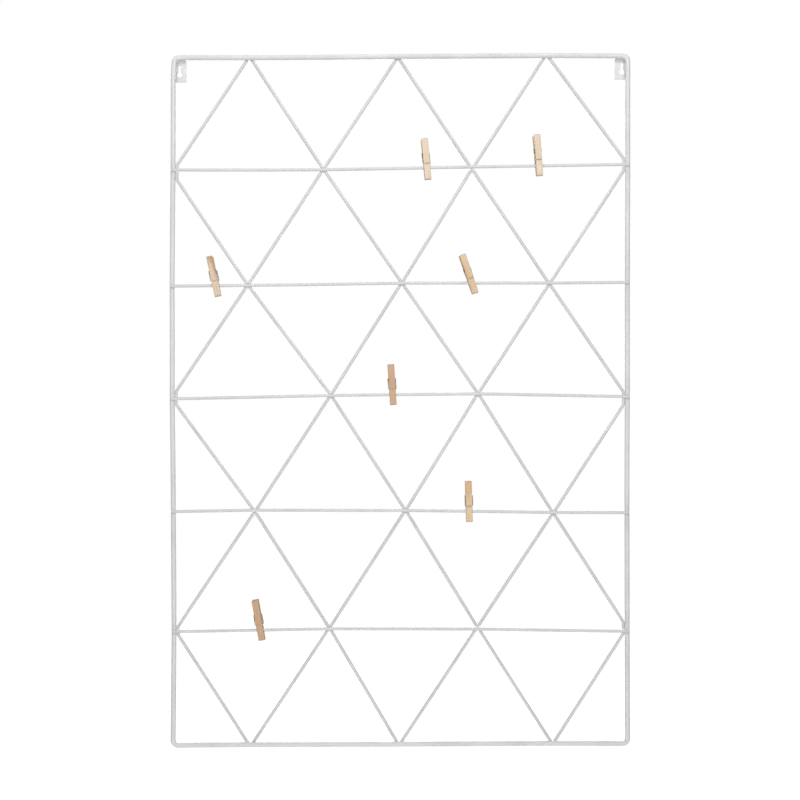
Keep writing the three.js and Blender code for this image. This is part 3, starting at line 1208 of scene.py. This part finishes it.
    def build_bead(self) -> bpy.types.Object:
        """Shapes the pattern of a weld spot, one millimetre in radius and slightly lumpy.

        Returns:
            The pattern, which is copied and then thrown away.
        """
        bpy.ops.object.select_all(action="DESELECT")
        bpy.ops.mesh.primitive_uv_sphere_add(segments=20, ring_count=12, radius=MM)
        work = Workpiece("bead_pattern")
        bpy.ops.transform.vertex_random(offset=self.bead_roughness * MM, uniform=0.4, normal=0.6, seed=3)
        bpy.ops.mesh.vertices_smooth(factor=0.5, repeat=3)
        return work.done(smooth_below=80)

    def beads_of_row(self, row: int) -> list[Bead]:
        """The weld spots along one row.

        Args:
            row: The row's number, 0 being the top bar.

        Returns:
            The spots.
        """
        layout = self.layout
        places = ROW_SHARES[row]
        if row in (0, len(ROW_SHARES) - 1):
            depth = (layout.rod_depth + layout.behind_bar_depth) / 2
            depth += layout.rod_diameter * self.bar_bead_set_back_share
            return [Bead(layout.place(place, depth), self.bar_bead) for place in places[1:-1]]
        depth = (layout.cross_depth + layout.zigzag_depth) / 2 + self.crossing_bead_set_back
        beads = [Bead(layout.place(place, depth), self.crossing_bead) for place in places[1:-1]]
        depth = layout.rod_depth - layout.rod_diameter / 2 - self.end_bead_proud
        rise = Vector((0, 0, self.end_bead_lift))
        for place in (places[0], places[-1]):
            end = layout.place(place, depth)
            beads += [Bead(end - rise, self.end_bead), Bead(end + rise, self.end_bead)]
        return beads

    def beads_of_tails(self, row: int) -> list[Bead]:
        """The weld spots between the side bars and the tails of the zigzag wires next to one row.

        Args:
            row: The number of an odd row, where the tails lie.

        Returns:
            The spots.
        """
        layout = self.layout
        depth = (layout.rod_depth + layout.zigzag_depth) / 2
        rise = Vector((0, 0, self.tail_bead_lift))
        beads = []
        for place, direction in ((ROW_SHARES[row][0], 1), (ROW_SHARES[row][-1], -1)):
            bar = layout.place(place, depth)
            bar.x += direction * (layout.rod_diameter + layout.weld_gap) / 2
            beads += [Bead(bar - rise, self.tail_bead), Bead(bar + rise, self.tail_bead)]
        return beads

    def build_beads(self) -> None:
        """Sets the weld spots, one piece for each row."""
        pattern = self.build_bead()
        last = len(ROW_SHARES) - 1
        names = {0: "top_bar_welds", last: "bottom_bar_welds"}
        for row in range(last + 1):
            beads = self.beads_of_row(row)
            if row % 2:
                beads += self.beads_of_tails(row)
            spots = [
                copy_of(
                    pattern,
                    f"spot_{row}_{number}",
                    Matrix.Translation(bead.middle * MM) @ Matrix.Diagonal((*bead.reach, 1)),
                )
                for number, bead in enumerate(beads)
            ]
            self.wear_coat(joined(spots, names.get(row, f"row_{row}_welds")), COAT_ON_WIRE)
        bpy.data.objects.remove(pattern)

    def build(self) -> None:
        """Builds all of the lattice."""
        self.build_rod()
        self.build_butt_weld()
        self.build_cross_wires()
        self.build_zigzag_wires()
        self.build_beads()


# Hangers


@dataclass
class HangerPlate:
    """A strip of sheet steel: a flange welded behind the top bar, and a leaf on the wall with a keyhole."""

    name: str
    node: str
    corner: tuple[float, float]
    outward: int
    inset: float
    lift: float = 0.0
    width: float = 18.0
    thickness: float = 1.5
    drop: float = 29.0
    bend_radius: float = 1.0
    flange_drop: float = 1.6
    flange_trim: float = 3.0
    keyhole_travel: float = 10.5
    slot_width: float = 3.8
    head_diameter: float = 6.8
    edge_rounding: float = 0.22
    edge_segments: int = 3
    # Edges that turn by more than this many degrees are rounded and shaded apart
    edge_angle: float = 50.0
    bend_steps: int = 8
    arc_steps: int = 20
    cut_overrun: float = 2.0
    # Places closer than this are taken for the same
    near: float = 0.01

    def cut_keyhole(self, plate: bpy.types.Object, seat: Vector) -> None:
        """Punches the keyhole through the leaf.

        Args:
            plate: The plate.
            seat: The middle of the slot's round top, on the wall.
        """
        slot = self.slot_width / 2
        head = self.head_diameter / 2
        shoulder = math.asin(slot / head)
        neck = math.pi / 2
        around = (neck + shoulder, neck + 2 * math.pi - shoulder)
        outline = [
            *arc((seat.x, seat.z), (slot, slot), (0, math.pi), self.arc_steps),
            *arc((seat.x, seat.z - self.keyhole_travel), (head, head), around, 2 * self.arc_steps),
        ]
        front = seat.y - self.thickness - self.cut_overrun
        punch = Workpiece.drawn("keyhole_punch", [Vector((x, front, z)) for x, z in outline])
        bpy.ops.mesh.edge_face_add()
        punch.feed(Vector((0, self.thickness + 2 * self.cut_overrun, 0)))
        cutter = punch.done()
        work_with(plate, "BOOLEAN", "punching", operation="DIFFERENCE", solver="EXACT", object=cutter)
        bpy.data.objects.remove(cutter)

    def build(self, lattice: Lattice) -> None:
        """Bends, punches and coats the plate.

        Args:
            lattice: The wire work that it is welded to.
        """
        layout = lattice.layout
        bar = layout.place(self.corner, layout.rod_depth)
        bar.x -= self.outward * self.inset
        bar.z += self.lift
        half = self.thickness / 2
        flange_width = self.width - self.flange_trim
        flange_x = bar.x - self.outward * self.flange_trim / 2
        behind_bar = layout.rod_diameter / 2 + layout.weld_gap
        front = Vector((flange_x, bar.y + behind_bar, bar.z - self.flange_drop - half))
        middle_radius = self.bend_radius + half
        bend_start = Vector((flange_x, -half - middle_radius, front.z))
        bend_end = bend_start + Vector((0, middle_radius, -middle_radius))
        work = Workpiece.strip(self.name, front, flange_width, self.thickness)
        work.feed(bend_start - front)
        centre = bend_start - Vector((0, 0, middle_radius))
        work.bend(centre, Vector((1, 0, 0)), math.pi / 2, self.bend_steps)
        work.feed(Vector((0, 0, bar.z - self.drop - bend_end.z)))
        flank = flange_x + self.outward * flange_width / 2
        leaf_top = bend_end.z - self.near
        work.select(
            Pick.FACES,
            lambda face: abs(face.center.x / MM - flank) < self.near and face.center.z / MM < leaf_top,
        )
        work.feed(Vector((self.outward * self.flange_trim, 0, 0)))
        plate = work.done()
        self.cut_keyhole(plate, Vector((bar.x, 0, bar.z - layout.keyhole_seat_drop)))
        angle = math.radians(self.edge_angle)
        work_with(
            plate,
            "BEVEL",
            "coated_edges",
            width=self.edge_rounding * MM,
            segments=self.edge_segments,
            limit_method="ANGLE",
            angle_limit=angle,
        )
        bpy.ops.object.shade_smooth_by_angle(angle=angle)
        work_with(plate, "WEIGHTED_NORMAL", "flat_faces_stay_flat", keep_sharp=True)
        lattice.wear_coat(plate, COAT_ON_SHEET_PAINTED_LIGHTER, self.node)


# Pegs


class Half(Enum):
    """The two wooden halves of a peg, with how each is turned about the peg's length."""

    FRONT = 0
    BACK = 180

    @property
    def word(self) -> str:
        """The half's name in lower case."""
        return self.name.lower()

    @property
    def turned(self) -> Matrix:
        """The turn that brings the front half's shape to this half's side."""
        return Matrix.Rotation(math.radians(self.value), 4, "Z")


@dataclass(frozen=True)
class PegShape:
    """The sizes of a peg and its parts.

    A peg's own frame has the coil's centre at its origin, and +Z runs up the handles.
    """

    width: float = 8.5
    handle_length: float = 20.7
    jaw_length: float = 32.3
    jaw_half_gap: float = 0.2
    jaw_tip_thickness: float = 3.6
    handle_outer_spread: float = 6.0
    handle_inner_spread: float = 4.0
    handle_root_gap: float = 0.9
    tip_chamfer: float = 1.2
    tip_lead_in: float = 2.4
    tip_lead_in_gap: float = 0.9
    handle_end_rounding: float = 0.6
    edge_rounding: float = 0.35
    corner_rounding: float = 0.18
    wire_hollow_drop: float = 18.0
    wire_hollow_clearance: float = 0.7
    steepest_tilt: float = 20.0
    seat_radius: float = 2.7
    spring_wire: float = 1.1
    # The coil lies tighter in its seats here than in the solids, and its turns lie side by side
    coil_clearance: float = 0.1
    coil_turns: int = 8
    arm_clearance: float = 0.35
    arm_bend_radius: float = 1.0
    arm_end_margin: float = 0.3
    arm_wrap: float = 20.0
    groove_drop: float = 11.8
    groove_sink: float = 0.15
    # The arm lies tighter in its groove here than in the solids
    groove_clearance: float = 0.1
    arc_steps: int = 16

    @property
    def coil_radius(self) -> float:
        """The radius of the coil's centre line."""
        return self.seat_radius - self.coil_clearance - self.spring_wire / 2

    @property
    def arm_side(self) -> float:
        """How far an arm's centre line lies from the middle of the peg."""
        return self.width / 2 + self.arm_clearance + self.spring_wire / 2

    def outer_face(self, along: float) -> float:
        """How far the outer face lies from the plane between the halves, at a place along the peg."""
        rise = (self.handle_outer_spread - self.jaw_tip_thickness) / (self.jaw_length + self.handle_length)
        return self.jaw_tip_thickness + rise * (along + self.jaw_length)

    @property
    def groove_out(self) -> float:
        """How far the middle of the arm in its groove lies from the plane between the halves."""
        return self.outer_face(-self.groove_drop) - self.groove_sink

    def wire_reach(self, wire_diameter: float, tilt: float) -> float:
        """How far a wire reaches along a peg that is tilted on it, from the middle of the wire.

        Args:
            wire_diameter: The wire's diameter.
            tilt: The peg's tilt, in degrees.

        Returns:
            The reach on either side.
        """
        angle = math.radians(tilt)
        return self.width / 2 * math.tan(angle) + wire_diameter / 2 / math.cos(angle)

    def hollow_half_length(self, wire_diameter: float) -> float:
        """Half the length of the hollow that holds the wire at any tilt."""
        return self.wire_reach(wire_diameter, self.steepest_tilt) + self.wire_hollow_clearance

    def outline(self, wire_diameter: float) -> list[tuple[float, float]]:
        """The side view of a half, as places along the peg and out from the plane between the halves.

        Args:
            wire_diameter: The diameter of the wire that the jaws close on.

        Returns:
            The outline's points, in order.
        """
        hollow = (self.hollow_half_length(wire_diameter), wire_diameter / 2 + self.wire_hollow_clearance)
        hollow_foot = math.asin(self.jaw_half_gap / hollow[1])
        seat_foot = math.asin(self.jaw_half_gap / self.seat_radius)
        seat_brow = math.asin(self.handle_root_gap / self.seat_radius)
        groove = self.spring_wire / 2 + self.groove_clearance
        groove_lip = math.asin(self.groove_sink / groove)
        groove_turn = (groove_lip, -math.pi - groove_lip)
        seat = (self.seat_radius, self.seat_radius)
        steps = self.arc_steps
        head = self.handle_length - self.handle_end_rounding
        foot = self.tip_chamfer - self.jaw_length
        return [
            (-self.jaw_length, self.tip_lead_in_gap),
            (self.tip_lead_in - self.jaw_length, self.jaw_half_gap),
            *arc((-self.wire_hollow_drop, 0), hollow, (math.pi - hollow_foot, hollow_foot), steps),
            *arc((0, 0), seat, (math.pi - seat_foot, seat_brow), steps),
            (self.handle_length, self.handle_inner_spread),
            (self.handle_length, self.outer_face(self.handle_length) - self.handle_end_rounding),
            (head, self.outer_face(head)),
            *arc((-self.groove_drop, self.groove_out), (groove, groove), groove_turn, steps),
            (foot, self.outer_face(foot)),
            (-self.jaw_length, self.jaw_tip_thickness - self.tip_chamfer),
        ]


@dataclass
class PegPatterns:
    """The shapes that all pegs share: the front half, the front arm of the spring and the coil."""

    shape: PegShape
    wire_diameter: float
    # Corners of the side view that turn by more than this many degrees are rounded
    sharp_angle: float = 25.0
    # Places closer than this are taken for the same
    near: float = 0.01
    corner_segments: int = 3
    edge_segments: int = 4
    spring_sides: int = 14
    arm_end_rounding: float = 0.2
    coil_steps: int = 24

    def cut_half(self) -> bpy.types.Object:
        """Draws the side view of the front half, gives it the peg's width and eases its edges.

        Returns:
            The pattern of a half.
        """
        shape = self.shape
        side = -shape.width / 2
        points = [Vector((side, -out, along)) for along, out in shape.outline(self.wire_diameter)]
        work = Workpiece.drawn("half_pattern", points)
        corners = self.sharp_corners(points)
        work.select(
            Pick.POINTS,
            lambda point: any((point.co / MM - corner).length < self.near for corner in corners),
        )
        bpy.ops.mesh.bevel(
            offset=shape.corner_rounding * MM,
            segments=self.corner_segments,
            affect="VERTICES",
            clamp_overlap=True,
        )
        bpy.ops.mesh.select_all(action="SELECT")
        bpy.ops.mesh.edge_face_add()
        work.feed(Vector((shape.width, 0, 0)))
        work.select(Pick.FACES, lambda face: len(face.vertices) > 4)
        work.round_border(shape.edge_rounding, self.edge_segments)
        return work.done(smooth_below=32)

    def sharp_corners(self, points: list[Vector]) -> list[Vector]:
        """The points of an outline where it turns sharply.

        Args:
            points: The outline's points, in order.

        Returns:
            Those points.
        """
        turned = zip([points[-1], *points], points, [*points[1:], points[0]])
        least = math.radians(self.sharp_angle)
        return [at for before, at, after in turned if (at - before).angle(after - at) > least]

    def arm_corners(self) -> list[Corner]:
        """The corners of the front arm: across the groove, up the left side and on to the coil.

        Returns:
            The corners, in that order.
        """
        shape = self.shape
        out = shape.groove_out
        distance = math.hypot(out, shape.groove_drop)
        start = math.pi + math.atan2(shape.groove_drop, out) - math.acos(shape.coil_radius / distance)
        wrap = math.radians(shape.arm_wrap)

        def on_coil(angle: float, radius: float) -> Vector:
            """A place beside the peg, at an angle round the coil's centre."""
            return Vector((-shape.arm_side, radius * math.cos(angle), radius * math.sin(angle)))

        return [
            Corner(Vector((shape.width / 2 - shape.arm_end_margin, -out, -shape.groove_drop)), 0),
            Corner(Vector((-shape.arm_side, -out, -shape.groove_drop)), shape.arm_bend_radius),
            Corner(on_coil(start - wrap / 2, shape.coil_radius / math.cos(wrap / 2)), shape.coil_radius),
            Corner(on_coil(start - wrap, shape.coil_radius), 0),
        ]

    def bend_arm(self) -> bpy.types.Object:
        """Bends the front arm.

        Returns:
            The pattern of an arm.
        """
        arm = BentWire(
            name="arm_pattern",
            corners=self.arm_corners(),
            diameter=self.shape.spring_wire,
            sides=self.spring_sides,
            end_rounding=self.arm_end_rounding,
            bow=0,
        )
        return arm.form()

    def wind_coil(self) -> bpy.types.Object:
        """Winds the coil from the front arm on the left to the back arm on the right.

        Returns:
            The pattern of a coil.
        """
        shape = self.shape
        entry = self.arm_corners()[-1].point
        start = math.atan2(entry.z, entry.y) % (2 * math.pi) + math.radians(shape.arm_wrap)
        sweep = shape.coil_turns * 2 * math.pi + 2 * (start - math.pi / 2)
        rounds = shape.coil_turns + 1
        y, z = math.cos(start), math.sin(start)
        first = Vector((-shape.arm_side, shape.coil_radius * y, shape.coil_radius * z))
        heading = Vector((0, z, -y))
        work = Workpiece.disc("coil_pattern", first, heading, shape.spring_wire / 2, self.spring_sides)
        bpy.ops.mesh.delete(type="ONLY_FACE")
        bpy.ops.object.mode_set(mode="OBJECT")
        work_with(
            work.object,
            "SCREW",
            "winding",
            axis="X",
            angle=-sweep / rounds,
            screw_offset=2 * shape.arm_side * MM / rounds,
            iterations=rounds,
            steps=self.coil_steps,
            render_steps=self.coil_steps,
        )
        bpy.ops.object.mode_set(mode="EDIT")
        work.merge_doubles(distance=0.002)
        bpy.ops.mesh.select_all(action="SELECT")
        bpy.ops.mesh.fill_holes(sides=0)
        return work.done(smooth_below=60)


@dataclass
class Peg:
    """A peg on its cross wire: where it is clipped, how it hangs, and its wood."""

    number: int
    row: int
    across_share: float
    tilt: float
    twist: float
    wood: PegBirch
    # How far the wire lies from the middle of its hollow towards the handles, of the play that it has there
    play_share: float = 0.0

    def place(self, lattice: Lattice, shape: PegShape) -> Matrix:
        """Where the peg's own frame lies.

        Args:
            lattice: The wire work that it is clipped to.
            shape: The peg's sizes.

        Returns:
            The frame, in metres.
        """
        points = lattice.cross_wire_points(self.row)
        across = self.across_share * lattice.layout.span[0] - lattice.layout.span[0] / 2
        start, end = next(pair for pair in zip(points, points[1:]) if pair[1].x > across)
        on_wire = start.lerp(end, (across - start.x) / (end.x - start.x))
        wire = lattice.layout.wire_diameter
        play = shape.hollow_half_length(wire) - shape.wire_reach(wire, self.tilt)
        drop = shape.wire_hollow_drop - self.play_share * play
        return (
            Matrix.Translation(on_wire * MM)
            @ Matrix.Rotation(-math.radians(self.tilt), 4, "Y")
            @ Matrix.Translation((0, 0, drop * MM))
            @ Matrix.Rotation(math.radians(self.twist), 4, "Z")
        )

    def build(
        self,
        lattice: Lattice,
        shape: PegShape,
        patterns: dict[str, bpy.types.Object],
        steel: bpy.types.Material,
        steel_slot: str,
    ) -> None:
        """Copies the peg's parts to their places and finishes them.

        Args:
            lattice: The wire work that it is clipped to.
            shape: The peg's sizes.
            patterns: The shapes of a half, an arm and a coil.
            steel: The material of the spring.
            steel_slot: The record's material slot of the spring. It is not used.
        """
        label = f"peg_{self.number}"
        frame_of_peg = self.place(lattice, shape)
        for half in Half:
            place = frame_of_peg @ half.turned
            body = f"{label}_{half.word}"
            wood = copy_of(patterns["half"], f"{body}_wood", place)
            ends = (-shape.jaw_length, shape.handle_length)
            birch = self.wood.make(f"{body}_birch", place, shape.width / 2, ends)
            dress(wood, birch, body, (f"{body}_half",))
            arm = copy_of(patterns["arm"], f"{body}_arm", place)
            dress(arm, steel, body)
        coil = copy_of(patterns["coil"], f"{label}_wound_coil", frame_of_peg)
        dress(coil, steel, f"{label}_coil", (f"{label}_spring",))


PEGS = (
    Peg(number=1, row=1, across_share=0.5584, tilt=5.4, twist=4, wood=PALE_BIRCH, play_share=0.65),
    Peg(number=2, row=1, across_share=0.8036, tilt=4.7, twist=4, wood=PALE_BIRCH, play_share=-0.6),
    Peg(number=3, row=2, across_share=0.0958, tilt=12.2, twist=4, wood=GRAINED_BIRCH),
    Peg(number=4, row=2, across_share=0.6565, tilt=18.9, twist=3, wood=TAN_BIRCH),
    Peg(number=5, row=3, across_share=0.4834, tilt=3.8, twist=2, wood=ROSY_BIRCH, play_share=-0.45),
    Peg(number=6, row=4, across_share=0.651, tilt=1.7, twist=0, wood=HONEY_BIRCH, play_share=-0.3),
    Peg(number=7, row=5, across_share=0.1933, tilt=10, twist=2, wood=ROSY_BIRCH, play_share=-0.65),
)


# Studio


@dataclass
class Lamp:
    """A soft box: where it stands, what it points at, its size and its power in watts."""

    name: str
    spot: tuple[float, float, float]
    aim: tuple[float, float, float]
    size: tuple[float, float]
    watts: float

    def build(self) -> None:
        """Sets the lamp up."""
        data = bpy.data.lights.new(self.name, "AREA")
        data.shape = "RECTANGLE"
        data.size, data.size_y = self.size
        data.energy = self.watts
        lamp = bpy.data.objects.new(self.name, data)
        bpy.context.scene.collection.objects.link(lamp)
        lamp.location = self.spot
        lamp.rotation_euler = (Vector(self.aim) - Vector(self.spot)).to_track_quat("-Z", "Y").to_euler()


@dataclass
class Studio:
    """The white studio: camera, lamps, world and floor. Lengths are in metres."""

    # The photo's optical axis meets the rack here, 1.4 m from the camera, and its 800 pixels take in 1.0455 m
    camera_x: float = -0.0004
    camera_z: float = -0.44045
    camera_distance: float = 1.4
    rod_depth: float = -0.012
    field_width: float = 1.0455
    sensor_width: float = 36.0
    floor_height: float = -2.1
    floor_size: float = 14.0
    floor_colour: str = "efefed"
    floor_glow: float = 0.84
    world_light: float = 0.28
    lamps: tuple[Lamp, ...] = (
        Lamp("soft_box_overhead", (0.0, -0.35, 1.0), (0, 0, -0.4), (0.9, 0.3), 4.0),
        Lamp("soft_box_underneath", (0.0, -0.35, -1.9), (0, 0, -0.5), (0.9, 0.3), 3.0),
        Lamp("soft_box_high", (0.0, -1.45, 0.2), (0, 0, -0.25), (1.0, 0.7), 11.7),
        Lamp("soft_box_low", (0.0, -1.9, -1.0), (0, 0, -0.6), (1.0, 0.7), 7.9),
        Lamp("soft_box_behind", (0.0, 2.2, 0.4), (0, 0, -0.45), (0.7, 1.6), 30.0),
    )

    def build_camera(self) -> None:
        """Stands the camera square in front of the rack, as the photographer did."""
        data = bpy.data.cameras.new("camera")
        data.sensor_width = self.sensor_width
        data.lens = self.sensor_width * self.camera_distance / self.field_width
        camera = bpy.data.objects.new("camera", data)
        bpy.context.scene.collection.objects.link(camera)
        camera.location = (self.camera_x, self.rod_depth - self.camera_distance, self.camera_z)
        camera.rotation_euler = (math.pi / 2, 0, 0)
        bpy.context.scene.camera = camera

    @staticmethod
    def seen_directly(tree: bpy.types.NodeTree) -> bpy.types.NodeSocket:
        """Tells camera, glossy and transmission rays, by a socket that is 1 for them, from all others."""
        rays = add_node(tree, "ShaderNodeLightPath").outputs
        return strongest(tree, [rays[f"Is {kind} Ray"] for kind in ("Camera", "Glossy", "Transmission")])

    def build_world(self) -> None:
        """Makes the world white to look at, and a soft even light for the object."""
        world = bpy.data.worlds.new("white_room")
        bpy.context.scene.world = world
        world.use_nodes = True
        tree = world.node_tree
        tree.nodes.clear()
        lightness = {"To Min": self.world_light, "To Max": 1.0}
        strength = add_node(tree, "ShaderNodeMapRange", lightness, {"Value": self.seen_directly(tree)})
        white = {"Color": (1, 1, 1, 1)}
        light = add_node(tree, "ShaderNodeBackground", white, {"Strength": strength.outputs["Result"]})
        add_node(tree, "ShaderNodeOutputWorld", links={"Surface": light.outputs["Background"]})

    def build_floor(self) -> None:
        """Lays the pale floor of the room that the rack hangs in. It keeps the rack's soft shadow."""
        bpy.ops.object.select_all(action="DESELECT")
        bpy.ops.mesh.primitive_plane_add(size=self.floor_size, location=(0, 0, self.floor_height))
        floor = bpy.context.object
        floor.name = "floor"
        material, tree = new_material("pale_floor")
        part = {"operation": "MULTIPLY", 1: self.floor_glow}
        glow = add_node(tree, "ShaderNodeMath", part, {0: self.seen_directly(tree)})
        paint = add_node(tree, "ShaderNodeBsdfDiffuse", {"Color": linear_colour(self.floor_colour)})
        light = add_node(tree, "ShaderNodeEmission", links={"Strength": glow.outputs[0]})
        shaders = {0: paint.outputs["BSDF"], 1: light.outputs["Emission"]}
        both = add_node(tree, "ShaderNodeAddShader", links=shaders)
        add_node(tree, "ShaderNodeOutputMaterial", links={"Surface": both.outputs["Shader"]})
        floor.data.materials.append(material)

    def build(self) -> None:
        """Sets the whole studio up."""
        bpy.context.scene.view_settings.view_transform = "Standard"
        self.build_camera()
        self.build_world()
        self.build_floor()
        for lamp in self.lamps:
            lamp.build()


def main() -> None:
    """Builds the studio, the lattice, its hangers and its pegs."""
    Studio().build()
    lattice = Lattice(Layout())
    lattice.build()
    left, right = ROW_SHARES[0][0], ROW_SHARES[0][-1]
    HangerPlate("left_hanger", "hanger_plate_left", left, outward=-1, inset=4.8).build(lattice)
    HangerPlate(
        "right_hanger",
        "hanger_plate_right",
        right,
        outward=1,
        inset=5.8,
        lift=lattice.layout.right_plate_raise,
    ).build(lattice)

    shape = PegShape()
    makers = PegPatterns(shape, lattice.layout.wire_diameter)
    patterns = {"half": makers.cut_half(), "arm": makers.bend_arm(), "coil": makers.wind_coil()}
    steel = DrawnSteel()
    steel_material = steel.make()
    for peg in PEGS:
        peg.build(lattice, shape, patterns, steel_material, steel.name)
    for pattern in patterns.values():
        bpy.data.objects.remove(pattern)
    log.info("the record has %d nodes", len(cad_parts))


if __name__ == "__main__":
    main()
